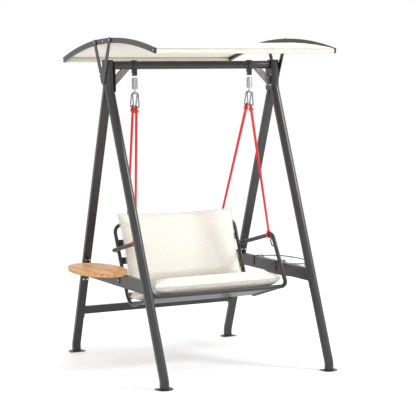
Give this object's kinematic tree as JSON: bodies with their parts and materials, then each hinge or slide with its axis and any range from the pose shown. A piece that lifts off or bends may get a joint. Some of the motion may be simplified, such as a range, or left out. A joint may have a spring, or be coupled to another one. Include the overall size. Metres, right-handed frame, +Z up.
{
  "type": "porch swing",
  "caption": "Canopied porch swing: A-frame stand, bench hung on red ropes and springs, side table and wire basket.",
  "frame": {"origin": "on the ground, midway between the four feet", "axes": "+X to the sitter's left (the basket side), +Y towards the back of the bench, +Z up"},
  "size_m": [1.772, 1.6378, 2.1924],
  "materials": {
    "frame_black": "dark anthracite powder coat",
    "collar_black": "black powder coat",
    "cap_plastic": "black moulded cap",
    "brace_grey": "light grey hammered paint",
    "bright_bolts": "zinc-plated steel",
    "strap_black": "black paint",
    "teak": "oiled teak",
    "wire_black": "black coated wire",
    "canopy_cloth": "cream acrylic canvas",
    "spring_steel": "zinc-plated spring wire",
    "seat_cloth": "heathered off-white linen weave",
    "back_cloth": "heathered off-white linen weave",
    "hook_steel": "zinc-plated steel",
    "red_rope": "braided red polyester"
  },
  "bodies": {
    "frame": {"basket_hooks": "strap_black", "basket_rim": "wire_black", "basket_tray": "wire_black", "basket_wires": "wire_black", "canopy_pivot_bolts": "bright_bolts", "foot_plates_front": "frame_black", "foot_plates_rear": "frame_black", "hanger_collars": "collar_black", "hanger_pins": "bright_bolts", "joint_bolts": "bright_bolts", "joint_plate_left": "frame_black", "joint_plate_right": "frame_black", "knee_brace_left": "brace_grey", "knee_brace_right": "brace_grey", "leg_caps": "cap_plastic", "leg_front_left": "frame_black", "leg_front_right": "frame_black", "leg_rear_left": "frame_black", "leg_rear_right": "frame_black", "rear_beam": "frame_black", "rear_flanges": "frame_black", "side_beam_bolts": "bright_bolts", "side_beam_left": "frame_black", "side_beam_right": "frame_black", "side_flanges_left": "frame_black", "side_flanges_right": "frame_black", "table_half_inner": "teak", "table_half_outer": "teak", "table_screws": "bright_bolts", "table_straps": "strap_black", "top_beam": "frame_black"},
    "canopy": {"canopy_arch_left": "frame_black", "canopy_arch_right": "frame_black", "canopy_front_rail": "frame_black", "canopy_rear_rail": "frame_black", "canopy_fabric": "canopy_cloth", "canopy_bracket_left": "frame_black", "canopy_bracket_right": "frame_black", "canopy_screws": "bright_bolts"},
    "hangers": {"spring_left": "spring_steel", "spring_right": "spring_steel"},
    "seat": {"arm_and_front_tube": "frame_black", "back_and_seat_tube": "frame_black", "seat_slats": "frame_black", "back_slats": "frame_black", "side_rings": "frame_black", "seat_cushion": "seat_cloth", "back_cushion": "back_cloth", "rope_hitches": "red_rope", "rope_knots": "red_rope", "snap_hooks_left": "hook_steel", "snap_hooks_right": "hook_steel", "rope_front_left": "red_rope", "rope_front_right": "red_rope", "rope_rear_left": "red_rope", "rope_rear_right": "red_rope"},
    "gate_front_left": {"snap_gate_front_left": "hook_steel"},
    "gate_front_right": {"snap_gate_front_right": "hook_steel"},
    "gate_rear_left": {"snap_gate_rear_left": "hook_steel"},
    "gate_rear_right": {"snap_gate_rear_right": "hook_steel"}
  },
  "joints": [
    {"name": "canopy_tilt", "type": "hinge", "parent": "frame", "child": "canopy", "pos_m": [0, -0.022, 1.96], "axis": [1, 0, 0], "range_deg": [-8, 8]},
    {"name": "swing", "type": "hinge", "parent": "frame", "child": "hangers", "pos_m": [0, 0, 1.96], "axis": [1, 0, 0], "range_deg": [-25, 25]},
    {"name": "spring_stretch", "type": "slide", "parent": "hangers", "child": "seat", "axis": [0, 0, 1], "range_m": [-0.03, 0], "stiffness_N_per_m": 40000, "springref_m": 0.011, "deforming": ["spring_left", "spring_right"]},
    {"name": "front_left_gate_opens", "type": "hinge", "parent": "seat", "child": "gate_front_left", "pos_m": [-0.445, -0.0142, 1.7609], "axis": [0, 0.9934, -0.1147], "range_deg": [0, 22], "stiffness_Nm_per_rad": 0.05, "springref_deg": -14.32},
    {"name": "front_right_gate_opens", "type": "hinge", "parent": "seat", "child": "gate_front_right", "pos_m": [0.405, -0.0142, 1.7609], "axis": [0, 0.9934, -0.1147], "range_deg": [0, 22], "stiffness_Nm_per_rad": 0.05, "springref_deg": -14.32},
    {"name": "rear_left_gate_opens", "type": "hinge", "parent": "seat", "child": "gate_rear_left", "pos_m": [-0.445, 0.03282, 1.76542], "axis": [0, 0.9355, 0.3534], "range_deg": [0, 22], "stiffness_Nm_per_rad": 0.05, "springref_deg": -14.32},
    {"name": "rear_right_gate_opens", "type": "hinge", "parent": "seat", "child": "gate_rear_right", "pos_m": [0.405, 0.03282, 1.76542], "axis": [0, 0.9355, 0.3534], "range_deg": [0, 22], "stiffness_Nm_per_rad": 0.05, "springref_deg": -14.32}
  ]
}
